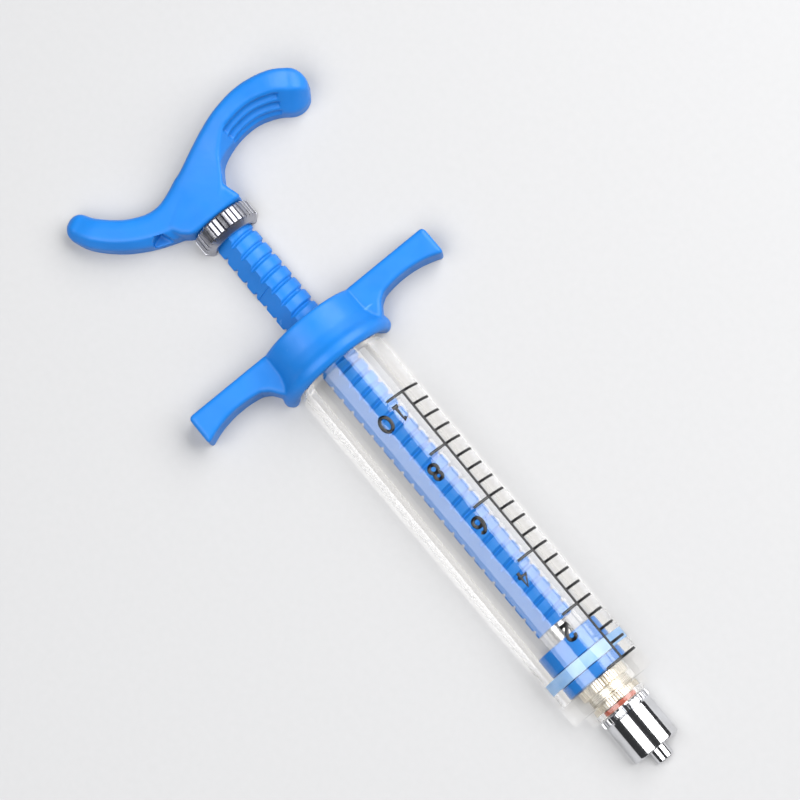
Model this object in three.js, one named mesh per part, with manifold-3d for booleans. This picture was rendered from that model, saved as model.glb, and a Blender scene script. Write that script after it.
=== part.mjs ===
// Refillable 10 ml oral dosing syringe: clear barrel with a moulded-in metal nozzle seat, winged screw cap,
// threaded plunger with a dose nut and an S-shaped palm handle.
// Units are millimetres. +X runs along the syringe to the nozzle, +Y towards the long arm of the handle,
// and +Z up.
// The syringe lies on its side, and the origin is the middle of its bounding box, on the surface it lies on.
// Every profile below is a list of [station along X, radius] pairs, turned about the syringe's axis.
import * as THREE from "three";
import { mergeVertices } from "three/addons/utils/BufferGeometryUtils.js";
import Module from "manifold-3d";

// ---- Driving dimensions ----

// stations along X
const NOZZLE_END = 77.8;
const COLLAR_END = 75.1;
const FLANGE_FACE = 66.4; // nozzle side of the knurled flange
const FLANGE_BACK = 65.1;
const BOSS_END = 64.85;
const BARREL_END = 62.35; // end of the full-width barrel
const BORE_FLOOR = 58;
const BARREL_SHOULDER = -18.9; // where the barrel reaches its full width
const BARREL_RIM = -28.2;
const CAP_MOUTH = -19.9;
const CAP_TOP = -30.8;
const SPIGOT_END = -23.8;
const NUT_FRONT = -53.8;
const NUT_BACK = -58.4;
const HUB_FACE = -58.6; // flat face of the handle that the dose nut backs up to

// barrel
const BORE_R = 7;
const BARREL_R_SHOULDER = 10.3;
const BARREL_R_END = 9.7;
const NECK_R = 9.3;
const BOSS_R = 7;
const BARREL_CORNER = 1;

// metal seat in the barrel's end, and the washer on it
const SEAT_R = 3.65;
const SEAT_WAIST_R = 3.05;
const SEAT_KNURL = 1.9; // length of each knurled band
const SEAT_HOLE_R = 2.45;
const SEAT_KNURLS = 24;
const WASHER_T = 1;
const WASHER_R = 3.7;

// nozzle
const SHANK_R = 2.25;
const NOZZLE_HOLE_R = 0.9;
const FLANGE_R = 5.45;
const COLLAR_R = 5.25;
const COLLAR_BORE_R = 4;
const CONE_TIP_R = 1.95;
const LUER_TAPER = 0.03; // radius gained for each unit of length, a 6 % cone
const FLANGE_KNURLS = 40;

// screw cap
const CAP_R = 11.8;
const CAP_LIP_R = 13.5;
const CAP_MOUTH_R = 11.2;
const CAP_BORE_R = 9.55;
const SPIGOT_R = 6.7;
const WING_SPAN = 59;
const WING_DEPTH = 12;
const WING_END_H = 6.7;
const WING_MIN_H = 4.7;
const WING_WAIST_Y = 20.4; // where the wing is thinnest
const WING_ROUND = 1;

// plunger
const ROD_R = 4.25;
const ROD_FLAT = 3.1; // from the axis to each flat
const FLAT_TURN = 60; // degrees that the flats are turned about the axis, from facing up
const ROD_END = 44.8;
const ROD_SOCKET = 3; // length of rod held in the handle
const CORE_R = 2.5;
const CORE_IN_HANDLE = 7.6;
const DISC_R = 6.85;
const SEAL_R = 6.92;
const REAR_DISC_BACK = 48.2;
const SEAL_BACK = 52.7;
const FRONT_DISC_BACK = 55.4;
const FRONT_DISC_FACE = 57.75;

// dose nut
const NUT_R = 6.6;
const NUT_CHAMFER = 1.3;
const NUT_FACE_R = 5.4;
const NUT_KNURLS = 36;

// handle
const HUB_R = 5.7;
const HUB_HEIGHT = 5;
const GROOVE_SPACING = 4.5;
const GROOVE_R = 1.1;

// clearances
const GAP = 0.15; // between fitted pieces, on the radius
const FACE_GAP = 0.1; // between faces that rest on each other
const ROD_GAP = 0.2; // round the plunger rod, on the radius
const ROUND = 40; // facets of a turned piece
const DISC_CHAMFER = 0.25; // of the piston's rear disc
const SEAL_CHAMFER = 0.3;

// ---- Materials ----

const clearPlastic = () =>
  new THREE.MeshStandardMaterial({
    color: 0xe9e6dc,
    roughness: 0.08,
    metalness: 0,
    transparent: true,
    opacity: 0.35,
  });
const blueNylon = () => new THREE.MeshStandardMaterial({ color: 0x2f8bef, roughness: 0.42, metalness: 0 });
const chrome = () => new THREE.MeshStandardMaterial({ color: 0xd8d8da, roughness: 0.12, metalness: 1 });
const steel = () => new THREE.MeshStandardMaterial({ color: 0xc2c4c6, roughness: 0.2, metalness: 1 });
const silicone = () => new THREE.MeshStandardMaterial({ color: 0x9fb4cc, roughness: 0.5, metalness: 0 });
const fibre = () => new THREE.MeshStandardMaterial({ color: 0x9c4a3c, roughness: 0.75, metalness: 0 });

// ---- Geometry helpers ----

const wasm = await Module();
wasm.setup();

function toSolid(geometry) {
  const bare = geometry.clone();
  bare.deleteAttribute("normal");
  bare.deleteAttribute("uv");
  const merged = mergeVertices(bare, 1e-4);
  return new wasm.Manifold(
    new wasm.Mesh({
      numProp: 3,
      vertProperties: new Float32Array(merged.attributes.position.array),
      triVerts: new Uint32Array(merged.index.array),
    }),
  );
}

function toGeometry(solid) {
  const mesh = solid.getMesh();
  const geometry = new THREE.BufferGeometry();
  geometry.setAttribute("position", new THREE.BufferAttribute(mesh.vertProperties, 3));
  geometry.setIndex(new THREE.BufferAttribute(mesh.triVerts, 1));
  geometry.computeVertexNormals();
  return geometry;
}

// Joins the first geometry with the ones in added, and cuts the ones in removed away.
function carved(base, added, removed) {
  let solid = toSolid(base);
  for (const geometry of added) solid = solid.add(toSolid(geometry));
  for (const geometry of removed) solid = solid.subtract(toSolid(geometry));
  return toGeometry(solid);
}

// A solid of revolution about the X axis. The profile starts and ends on the axis.
function turned(profile, facets = ROUND) {
  const points = profile.map(([x, r]) => new THREE.Vector2(r, x));
  const geometry = new THREE.LatheGeometry(points, facets);
  geometry.rotateZ(-Math.PI / 2);
  return geometry;
}

// The same, for a profile round a hole: the outer and inner lines together close on themselves.
function turnedRing(outer, inner, facets = ROUND) {
  return turned([...outer, ...[...inner].reverse(), outer[0]], facets);
}

// A ring with a knurled rim between two stations: straight V ridges along X.
function knurledRing(from, to, radius, depth, ridges, holeRadius) {
  const outline = new THREE.Shape();
  for (let i = 0; i < 2 * ridges; i++) {
    const angle = (Math.PI * i) / ridges;
    const r = i % 2 ? radius - depth : radius;
    const point = [r * Math.cos(angle), r * Math.sin(angle)];
    if (i === 0) outline.moveTo(...point);
    else outline.lineTo(...point);
  }
  outline.closePath();
  const hole = new THREE.Path();
  hole.absarc(0, 0, holeRadius, 0, 2 * Math.PI, true);
  outline.holes.push(hole);
  const geometry = new THREE.ExtrudeGeometry(outline, {
    depth: to - from,
    bevelEnabled: false,
    curveSegments: ROUND / 2,
  });
  geometry.rotateY(Math.PI / 2);
  geometry.translate(from, 0, 0);
  return geometry;
}

// A box from its low and high corners.
function block(low, high) {
  const size = high.map((v, i) => v - low[i]);
  const geometry = new THREE.BoxGeometry(...size);
  geometry.translate(...high.map((v, i) => (v + low[i]) / 2));
  return geometry;
}

// Two blocks that leave only the part of a round rod between its flats.
function flatCutters(from, to, distance) {
  const reach = 3 * ROD_R;
  return [1, -1].map((side) => {
    const cutter = block([from, -reach, distance], [to, reach, reach]);
    if (side < 0) cutter.rotateX(Math.PI);
    cutter.rotateX(THREE.MathUtils.degToRad(FLAT_TURN));
    return cutter;
  });
}

// ---- Barrel and its nozzle seat ----

const seatEnd = BOSS_END - WASHER_T - 2 * FACE_GAP;
const secondKnurl = seatEnd - SEAT_KNURL;
const firstKnurlEnd = BORE_FLOOR + SEAT_KNURL;

function barrelGeometry() {
  const pocket = SEAT_R + GAP;
  const waist = SEAT_WAIST_R + GAP;
  const corner = [];
  for (let i = 0; i <= 4; i++) {
    const angle = (i / 4) * (Math.PI / 2);
    corner.push([
      BARREL_END - BARREL_CORNER * (1 - Math.sin(angle)),
      BARREL_R_END - BARREL_CORNER * (1 - Math.cos(angle)),
    ]);
  }
  const outer = [
    [BARREL_RIM, NECK_R - 0.4],
    [BARREL_RIM + 0.4, NECK_R],
    [BARREL_SHOULDER - 1.4, NECK_R],
    [BARREL_SHOULDER - 0.7, BARREL_R_SHOULDER - 0.4],
    [BARREL_SHOULDER, BARREL_R_SHOULDER],
    ...corner,
    [BARREL_END, BOSS_R],
    [BOSS_END - 0.3, BOSS_R],
    [BOSS_END, BOSS_R - 0.3],
  ];
  const inner = [
    [BARREL_RIM, BORE_R + 0.3],
    [BARREL_RIM + 0.5, BORE_R],
    [BORE_FLOOR, BORE_R],
    [BORE_FLOOR, pocket],
    [firstKnurlEnd + GAP, pocket],
    [firstKnurlEnd + 2 * GAP, waist],
    [secondKnurl - 2 * GAP, waist],
    [secondKnurl - GAP, pocket],
    [BOSS_END, pocket],
  ];
  return turnedRing(outer, inner);
}

// Knurled at both ends so that the plastic grips it, with a waist between and a hole for the nozzle's shank.
function seatGeometry() {
  const overlap = 0.05;
  const waist = turnedRing(
    [
      [firstKnurlEnd - overlap, SEAT_WAIST_R],
      [secondKnurl + overlap, SEAT_WAIST_R],
    ],
    [
      [firstKnurlEnd - overlap, SEAT_HOLE_R],
      [secondKnurl + overlap, SEAT_HOLE_R],
    ],
  );
  const bands = [
    [BORE_FLOOR, firstKnurlEnd],
    [secondKnurl, seatEnd],
  ].map(([from, to]) => knurledRing(from, to, SEAT_R, 0.3, SEAT_KNURLS, SEAT_HOLE_R));
  return carved(waist, bands, []);
}

function washerGeometry() {
  const from = seatEnd + FACE_GAP;
  const to = from + WASHER_T;
  return turnedRing(
    [
      [from, WASHER_R],
      [to, WASHER_R],
    ],
    [
      [from, SEAT_HOLE_R],
      [to, SEAT_HOLE_R],
    ],
  );
}

// ---- Nozzle: shank, knurled flange, locking collar and cone, turned from one bar ----

function nozzleGeometry() {
  const collarFloor = FLANGE_FACE + 1;
  const coneBaseR = CONE_TIP_R + LUER_TAPER * (NOZZLE_END - collarFloor);
  const body = turned([
    [BORE_FLOOR + 1, 0],
    [BORE_FLOOR + 1, SHANK_R],
    [FLANGE_BACK, SHANK_R],
    [FLANGE_BACK, COLLAR_R - 0.4],
    [FLANGE_FACE, COLLAR_R - 0.1],
    [FLANGE_FACE + 0.2, COLLAR_R],
    [COLLAR_END - 0.3, COLLAR_R],
    [COLLAR_END, COLLAR_R - 0.3],
    [COLLAR_END, COLLAR_BORE_R + 0.3],
    [COLLAR_END - 0.3, COLLAR_BORE_R],
    [collarFloor, COLLAR_BORE_R],
    [collarFloor, coneBaseR],
    [NOZZLE_END - 0.2, CONE_TIP_R],
    [NOZZLE_END, CONE_TIP_R - 0.15],
    [NOZZLE_END, 0],
  ]);
  const flange = knurledRing(FLANGE_BACK, FLANGE_FACE, FLANGE_R, 0.22, FLANGE_KNURLS, SHANK_R);
  const drill = turned(
    [
      [BORE_FLOOR, 0],
      [BORE_FLOOR, NOZZLE_HOLE_R],
      [NOZZLE_END + 1, NOZZLE_HOLE_R],
      [NOZZLE_END + 1, 0],
    ],
    16,
  );
  return carved(body, [flange], [drill]);
}

// ---- Winged screw cap ----

// Height of a wing under its flat top, at a distance from the axis: one arc that is thinnest at its waist.
function wingHeight(y) {
  const halfChord = WING_SPAN / 2 - WING_WAIST_Y;
  const sag = WING_END_H - WING_MIN_H;
  const radius = (halfChord ** 2 + sag ** 2) / (2 * sag);
  return WING_MIN_H + radius - Math.sqrt(radius ** 2 - (y - WING_WAIST_Y) ** 2);
}

function wingGeometry() {
  const outline = new THREE.Shape();
  const start = CAP_R - 2.5; // inside the collar, which the wing is joined to
  const end = WING_SPAN / 2 - WING_ROUND;
  const steps = 12;
  outline.moveTo(CAP_TOP + WING_ROUND, start);
  for (let i = 0; i <= steps; i++) {
    const y = start + ((end - start) * i) / steps;
    outline.lineTo(CAP_TOP + wingHeight(y + WING_ROUND / 2) - WING_ROUND, y);
  }
  outline.lineTo(CAP_TOP + WING_ROUND, end);
  outline.closePath();
  const geometry = new THREE.ExtrudeGeometry(outline, {
    depth: WING_DEPTH - 2 * WING_ROUND,
    bevelThickness: WING_ROUND,
    bevelSize: WING_ROUND,
    bevelSegments: 3,
  });
  geometry.translate(0, 0, WING_ROUND - WING_DEPTH / 2);
  return geometry;
}

function capGeometry() {
  const roof = BARREL_RIM - 0.2;
  const body = turned([
    [CAP_TOP, 0],
    [CAP_TOP, CAP_R - 0.6],
    [CAP_TOP + 0.5, CAP_R],
    [CAP_TOP + 4.8, CAP_R + 0.15],
    [CAP_TOP + 6.8, CAP_R + 0.8],
    [CAP_TOP + 8.2, CAP_LIP_R - 0.15],
    [CAP_TOP + 9, CAP_LIP_R],
    [CAP_TOP + 9.9, CAP_LIP_R - 0.35],
    [CAP_TOP + 10.6, CAP_LIP_R - 1.2],
    [CAP_MOUTH, CAP_MOUTH_R],
    [CAP_MOUTH - 0.8, CAP_BORE_R],
    [roof, CAP_BORE_R],
    [roof, SPIGOT_R],
    [SPIGOT_END - 0.3, SPIGOT_R],
    [SPIGOT_END, SPIGOT_R - 0.3],
    [SPIGOT_END, 0],
  ]);
  const wing = wingGeometry();
  const oppositeWing = wing.clone().rotateX(Math.PI);
  const holeFrom = CAP_TOP - 1;
  const holeTo = SPIGOT_END + 1;
  const holeR = ROD_R + ROD_GAP;
  const roundHole = turned([
    [holeFrom, 0],
    [holeFrom, holeR],
    [holeTo, holeR],
    [holeTo, 0],
  ]);
  const keyedHole = carved(roundHole, [], flatCutters(holeFrom - 1, holeTo + 1, ROD_FLAT + ROD_GAP));
  // The wings start inside the collar, so what they leave in the thread cavity is cut back.
  const cavity = turnedRing(
    [
      [roof, CAP_BORE_R],
      [CAP_MOUTH, CAP_BORE_R],
    ],
    [
      [roof, SPIGOT_R],
      [CAP_MOUTH, SPIGOT_R],
    ],
  );
  return carved(body, [wing, oppositeWing], [keyedHole, cavity]);
}

// ---- Plunger ----

function rodGeometry() {
  const from = HUB_FACE - ROD_SOCKET;
  const tube = turnedRing(
    [
      [from, ROD_R],
      [ROD_END - 0.5, ROD_R],
      [ROD_END, ROD_R - 0.5],
    ],
    [
      [from, CORE_R + GAP],
      [ROD_END, CORE_R + GAP],
    ],
  );
  return carved(tube, [], flatCutters(HUB_FACE + 0.3, ROD_END + 1, ROD_FLAT));
}

function coreGeometry() {
  const from = HUB_FACE - CORE_IN_HANDLE;
  const to = FRONT_DISC_FACE - 1.2;
  return turned(
    [
      [from, 0],
      [from, CORE_R],
      [to - 0.3, CORE_R],
      [to, CORE_R - 0.3],
      [to, 0],
    ],
    32,
  );
}

// A piston disc or the seal: a flat ring with slightly broken edges.
function pistonRing(from, to, radius, edge) {
  return turnedRing(
    [
      [from, radius - edge],
      [from + edge, radius],
      [to - edge, radius],
      [to, radius - edge],
    ],
    [
      [from, CORE_R + GAP],
      [to, CORE_R + GAP],
    ],
  );
}

function frontDiscGeometry() {
  const edge = 0.25;
  const pocketEnd = FRONT_DISC_FACE - 1;
  return turned([
    [pocketEnd, 0],
    [pocketEnd, CORE_R + GAP],
    [FRONT_DISC_BACK, CORE_R + GAP],
    [FRONT_DISC_BACK, DISC_R - edge],
    [FRONT_DISC_BACK + edge, DISC_R],
    [FRONT_DISC_FACE - edge, DISC_R],
    [FRONT_DISC_FACE, DISC_R - edge],
    [FRONT_DISC_FACE, 0],
  ]);
}

function doseNutGeometry() {
  const knurlEnd = NUT_FRONT - NUT_CHAMFER;
  const holeR = ROD_R + ROD_GAP;
  const front = turnedRing(
    [
      [knurlEnd - 0.3, NUT_R - 0.35],
      [knurlEnd, NUT_R - 0.1],
      [NUT_FRONT, NUT_FACE_R],
    ],
    [
      [knurlEnd - 0.3, holeR],
      [NUT_FRONT, holeR],
    ],
  );
  const rim = knurledRing(NUT_BACK, knurlEnd, NUT_R, 0.35, NUT_KNURLS, holeR);
  return carved(rim, [front], []);
}

// ---- Handle ----

// Middle line of the handle from the tip of the short arm to the tip of the long one:
// distance across the syringe, height above the hub's face, half the thickness, half the depth.
const HANDLE_SECTIONS = [
  [-22.7, 16.8, 2.8, 4.3],
  [-21, 13.5, 3, 5.2],
  [-17.5, 9.9, 3.1, 5.5],
  [-13.9, 7.5, 3.2, 5.6],
  [-10, 5.9, 3.5, 5.7],
  [-5.4, 5.4, 4.4, 5.8],
  [0.2, 7, 5.4, 6],
  [5.2, 10.4, 3.5, 6.8],
  [10, 12.5, 3.2, 8],
  [14.8, 13.5, 3.3, 8.9],
  [19.4, 13.5, 3.6, 9.4],
  [24, 12.2, 4, 9.3],
  [27.2, 10.2, 4.2, 8.3],
];
const HANDLE_RINGS = 32;
const HANDLE_END_RINGS = 4;
const HANDLE_SIDES = 20;
const HANDLE_SQUARENESS = 2.6; // exponent of the rounded section, where 2 is an ellipse

// Value of a smooth line through one column of the sections, at a place from 0 to 1.
function alongHandle(column, place) {
  const points = HANDLE_SECTIONS.map((section) => new THREE.Vector3(section[column], 0, 0));
  return new THREE.CatmullRomCurve3(points).getPoint(place).x;
}

function handleFrame(place) {
  const step = 0.01;
  const before = Math.max(place - step, 0);
  const after = Math.min(place + step, 1);
  const tangent = new THREE.Vector2(
    alongHandle(0, after) - alongHandle(0, before),
    alongHandle(1, after) - alongHandle(1, before),
  ).normalize();
  return {
    y: alongHandle(0, place),
    height: alongHandle(1, place),
    thick: alongHandle(2, place),
    deep: alongHandle(3, place),
    tangent,
  };
}

// A sphere's rings are spread along the middle line, and the ones at each end close it with a round tip.
function handleBlank() {
  const geometry = new THREE.SphereGeometry(1, HANDLE_SIDES, HANDLE_RINGS);
  const position = geometry.attributes.position;
  const straight = HANDLE_RINGS - 2 * HANDLE_END_RINGS;
  const power = 2 / HANDLE_SQUARENESS;
  for (let i = 0; i < position.count; i++) {
    const ring = Math.floor(i / (HANDLE_SIDES + 1));
    const side = (2 * Math.PI * (i % (HANDLE_SIDES + 1))) / HANDLE_SIDES;
    const fromStart = Math.min(ring / HANDLE_END_RINGS, 1);
    const fromFinish = Math.min((HANDLE_RINGS - ring) / HANDLE_END_RINGS, 1);
    const place = THREE.MathUtils.clamp((ring - HANDLE_END_RINGS) / straight, 0, 1);
    const { y, height, thick, deep, tangent } = handleFrame(place);
    const width = Math.sin((Math.min(fromStart, fromFinish) * Math.PI) / 2);
    const past = Math.cos((fromFinish * Math.PI) / 2) - Math.cos((fromStart * Math.PI) / 2);
    const across = Math.sign(Math.sin(side)) * Math.abs(Math.sin(side)) ** power * thick * width;
    const deepness = Math.sign(Math.cos(side)) * Math.abs(Math.cos(side)) ** power * deep * width;
    const outY = y + tangent.x * past * thick - tangent.y * across;
    const outHeight = height + tangent.y * past * thick + tangent.x * across;
    position.setXYZ(i, HUB_FACE - outHeight, outY, deepness);
  }
  return geometry;
}

// A round-bottomed groove under the long arm, along its length.
function gripGroove(z) {
  const points = [];
  for (let place = 0.62; place <= 0.9; place += 0.04) {
    const { y, height, thick, tangent } = handleFrame(place);
    const depth = thick - 0.1;
    points.push(new THREE.Vector3(HUB_FACE - (height - tangent.x * depth), y + tangent.y * depth, z));
  }
  const path = new THREE.CatmullRomCurve3(points);
  const section = new THREE.Shape();
  section.absarc(0, 0, GROOVE_R, 0, 2 * Math.PI, false);
  return new THREE.ExtrudeGeometry(section, { steps: 14, extrudePath: path, curveSegments: 8 });
}

function handleGeometry() {
  const hub = turned([
    [HUB_FACE - HUB_HEIGHT, 0],
    [HUB_FACE - HUB_HEIGHT, HUB_R - 1.2],
    [HUB_FACE - HUB_HEIGHT / 2, HUB_R],
    [HUB_FACE - 0.4, HUB_R],
    [HUB_FACE, HUB_R - 0.4],
    [HUB_FACE, 0],
  ]);
  const sockets = [
    [ROD_R + GAP, ROD_SOCKET + FACE_GAP],
    [CORE_R + GAP, CORE_IN_HANDLE + FACE_GAP],
  ].map(([radius, depth]) =>
    turned([
      [HUB_FACE - depth, 0],
      [HUB_FACE - depth, radius],
      [HUB_FACE + 1, radius],
      [HUB_FACE + 1, 0],
    ]),
  );
  // The space under the hub's face belongs to the dose nut.
  const underHub = block([HUB_FACE, -2 * HUB_R, -2 * HUB_R], [HUB_FACE + 10, 2 * HUB_R, 2 * HUB_R]);
  const grooves = [-1, 0, 1].map((i) => gripGroove(i * GROOVE_SPACING));
  const mouldPocket = block([-1.4, -2.6, -1.6], [1.4, 2.6, 1.6]);
  mouldPocket.rotateZ(THREE.MathUtils.degToRad(-68));
  mouldPocket.translate(HUB_FACE - 2.2, -11.2, 0);
  return carved(handleBlank(), [hub], [...sockets, underHub, ...grooves, mouldPocket]);
}

// ---- Assembly ----

function part(name, geometry, material) {
  const mesh = new THREE.Mesh(geometry, material);
  mesh.name = name;
  return mesh;
}

const syringe = new THREE.Group();

const body = new THREE.Group();
body.add(part("barrel", barrelGeometry(), clearPlastic()));
body.add(part("nozzle_seat", seatGeometry(), chrome()));
body.add(part("nozzle_washer", washerGeometry(), fibre()));
body.add(part("luer_lock_nozzle", nozzleGeometry(), chrome()));
body.add(part("winged_cap", capGeometry(), blueNylon()));

const plunger = new THREE.Group();
plunger.add(part("threaded_rod", rodGeometry(), blueNylon()));
plunger.add(part("core_rod", coreGeometry(), steel()));
const rearDisc = pistonRing(REAR_DISC_BACK, SEAL_BACK - FACE_GAP, DISC_R, DISC_CHAMFER);
plunger.add(part("piston_rear_disc", rearDisc, blueNylon()));
const seal = pistonRing(SEAL_BACK, FRONT_DISC_BACK - FACE_GAP, SEAL_R, SEAL_CHAMFER);
plunger.add(part("piston_seal", seal, silicone()));
plunger.add(part("piston_front_disc", frontDiscGeometry(), blueNylon()));
plunger.add(part("palm_handle", handleGeometry(), blueNylon()));
plunger.add(part("dose_nut", doseNutGeometry(), chrome()));

syringe.add(body, plunger);

// The syringe lies with the cap's lip on the surface, and its box is centred over the origin.
const box = new THREE.Box3().setFromObject(syringe);
const middle = box.getCenter(new THREE.Vector3());
syringe.position.set(-middle.x, -middle.y, -box.min.z);

const root = new THREE.Group();
root.add(syringe);

export default root;
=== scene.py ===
"""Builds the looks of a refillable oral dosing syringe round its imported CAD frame.

Laid out as an add-on: one operator for each piece or group of like pieces, one for the stage, and a panel
that lists them. Lengths in the code are millimetres, and become metres in one place.
Stations run along the syringe's axis, towards the nozzle. Radii are measured from that axis.
"""

import math

import bmesh
import bpy
from mathutils import Matrix, Vector


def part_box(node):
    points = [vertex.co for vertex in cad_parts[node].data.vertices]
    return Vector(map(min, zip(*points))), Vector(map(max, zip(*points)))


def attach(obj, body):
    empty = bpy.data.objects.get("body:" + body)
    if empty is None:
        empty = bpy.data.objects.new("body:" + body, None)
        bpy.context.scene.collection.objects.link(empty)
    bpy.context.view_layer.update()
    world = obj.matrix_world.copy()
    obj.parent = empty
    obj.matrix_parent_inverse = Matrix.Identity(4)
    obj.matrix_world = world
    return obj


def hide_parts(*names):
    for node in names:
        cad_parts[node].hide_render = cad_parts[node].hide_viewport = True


bl_info = {
    "name": "Oral Dosing Syringe",
    "version": (1, 0, 0),
    "blender": (4, 5, 0),
    "location": "View3D > Sidebar > Syringe",
    "description": "Models a refillable oral dosing syringe with a threaded plunger and a lock nozzle",
    "category": "Object",
}

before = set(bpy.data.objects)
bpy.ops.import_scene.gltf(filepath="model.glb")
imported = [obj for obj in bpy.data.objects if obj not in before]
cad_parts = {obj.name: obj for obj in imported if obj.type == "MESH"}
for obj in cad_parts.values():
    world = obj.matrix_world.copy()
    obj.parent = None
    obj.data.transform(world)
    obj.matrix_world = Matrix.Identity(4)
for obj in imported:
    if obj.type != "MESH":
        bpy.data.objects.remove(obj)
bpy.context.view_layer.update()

MM = 0.001
BARREL_RIM = -28.2
BARREL_LOW, BARREL_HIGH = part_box("barrel")
AXIS_Y = (BARREL_LOW.y + BARREL_HIGH.y) / 2
AXIS_Z = (BARREL_LOW.z + BARREL_HIGH.z) / 2
STATION_ZERO = BARREL_LOW.x - BARREL_RIM * MM
ON_AXIS = (0.0, AXIS_Y, AXIS_Z)
FACING_ALONG = (0, math.pi / 2, 0)  # turns a flat circle to face along the axis

# stations of the pieces
NOZZLE_END = 77.8
COLLAR_END = 75.1
FLANGE_FACE = 66.4
FLANGE_BACK = 65.1
BOSS_END = 64.85
BARREL_END = 62.35
BORE_FLOOR = 58.05
SEAT_END = 63.65
BARREL_SHOULDER = -18.9
CAP_MOUTH = -19.9
CAP_TOP = -30.8
SPIGOT_END = -23.8
NUT_FRONT = -53.8
NUT_BACK = -58.4
HUB_FACE = -58.6
ROD_END = 44.8
REAR_DISC_BACK = 48.2
SEAL_BACK = 52.7
FRONT_DISC_BACK = 55.4
FRONT_DISC_FACE = 57.75

# radii
BORE_R = 7.0
BARREL_R_SHOULDER = 10.3
BARREL_R_END = 9.7
ROD_R = 4.25
FLAT_R = 3.48  # from the axis to each of the rod's two flats
ROD_CLEARANCE = 0.2
CORE_R = 2.5
CORE_CLEARANCE = 0.15

FLAT_TURN = -52.0  # degrees from straight up towards the long arm, of the flat that faces up


# ---- Places and selections ----


def place(station, radius=0.0, angle=0.0):
    """A point in metres, at an angle from straight up towards the handle's long arm."""
    turn = math.radians(angle)
    return Vector(
        (
            STATION_ZERO + station * MM,
            AXIS_Y + radius * MM * math.sin(turn),
            AXIS_Z + radius * MM * math.cos(turn),
        )
    )


def deselect():
    if bpy.context.object and bpy.context.object.mode != "OBJECT":
        bpy.ops.object.mode_set(mode="OBJECT")
    bpy.ops.object.select_all(action="DESELECT")


def pick(*pieces):
    """Selects only these pieces, the first one active."""
    deselect()
    for piece in pieces:
        piece.select_set(True)
    bpy.context.view_layer.objects.active = pieces[0]


def edit(piece):
    pick(piece)
    bpy.ops.object.mode_set(mode="EDIT")
    bpy.ops.mesh.select_mode(type="VERT")


def leave_edit():
    bpy.ops.object.mode_set(mode="OBJECT")


def named(name):
    piece = bpy.context.object
    piece.name = name
    piece.data.name = name
    return piece


def settle(piece):
    """Puts the piece's place into its mesh, so that its object sits at the origin."""
    pick(piece)
    bpy.ops.object.transform_apply(location=True, rotation=True, scale=True)


def tidy_mesh(piece):
    """Merges doubled points and turns all faces outwards."""
    edit(piece)
    bpy.ops.mesh.select_all(action="SELECT")
    bpy.ops.mesh.remove_doubles(threshold=0.0005 * MM)
    bpy.ops.mesh.normals_make_consistent(inside=False)
    leave_edit()


def smooth(piece, degrees=32):
    pick(piece)
    bpy.ops.object.shade_smooth_by_angle(angle=math.radians(degrees))


def apply_modifier(piece, kind, **settings):
    pick(piece)
    modifier = piece.modifiers.new(kind.title(), kind)
    for key, value in settings.items():
        setattr(modifier, key, value)
    bpy.ops.object.modifier_apply(modifier=modifier.name)


def carve(piece, tool, operation="DIFFERENCE"):
    apply_modifier(piece, "BOOLEAN", operation=operation, object=tool, solver="EXACT")
    mesh = tool.data
    bpy.data.objects.remove(tool)
    bpy.data.meshes.remove(mesh)


def join(*pieces):
    pick(*pieces)
    bpy.ops.object.join()
    return bpy.context.object


def fuse(piece, voxel, passes):
    """Melts overlapping parts into one moulded skin with soft inner corners."""
    apply_modifier(piece, "REMESH", mode="VOXEL", voxel_size=voxel * MM, use_smooth_shade=True)
    apply_modifier(piece, "SMOOTH", factor=0.5, iterations=passes)


# ---- Lines and turned shapes ----


def soften(line, steps=4):
    """Turns each corner of a line that carries a third number, its radius, into a short arc."""
    points = []
    for k, (x, r, *corner) in enumerate(line):
        here = Vector((x, r))
        if not corner or k in (0, len(line) - 1):
            points.append(here)
            continue
        back = Vector(line[k - 1][:2]) - here
        ahead = Vector(line[k + 1][:2]) - here
        reach = corner[0] / math.tan(back.angle(ahead) / 2)
        reach = min(reach, 0.48 * back.length, 0.48 * ahead.length)
        start = here + back.normalized() * reach
        end = here + ahead.normalized() * reach
        for i in range(steps + 1):
            t = i / steps
            points.append((1 - t) ** 2 * start + 2 * t * (1 - t) * here + t**2 * end)
    return points


def flowing(points, per_span):
    """A smooth line of points through the given ones, which may have any number of columns."""
    line = []
    last = len(points) - 1
    for k in range(last):
        p0, p1 = points[max(k - 1, 0)], points[k]
        p2, p3 = points[k + 1], points[min(k + 2, last)]
        for i in range(per_span):
            t = i / per_span
            line.append(
                [
                    0.5
                    * (2 * b + (c - a) * t + (2 * a - 5 * b + 4 * c - d) * t**2 + (3 * b - a - 3 * c + d) * t**3)
                    for a, b, c, d in zip(p0, p1, p2, p3)
                ]
            )
    line.append(list(points[last]))
    return line


def draw_line(name, points):
    """Draws a chain of edges through points in metres by extruding one vertex."""
    deselect()
    bpy.ops.mesh.primitive_plane_add(size=MM, location=points[0])
    piece = named(name)
    settle(piece)
    edit(piece)
    bpy.ops.mesh.select_all(action="SELECT")
    bpy.ops.mesh.merge(type="CENTER")
    for before, after in zip(points, points[1:]):
        bpy.ops.mesh.extrude_vertices_move(TRANSFORM_OT_translate={"value": after - before})
    leave_edit()
    return piece


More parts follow.
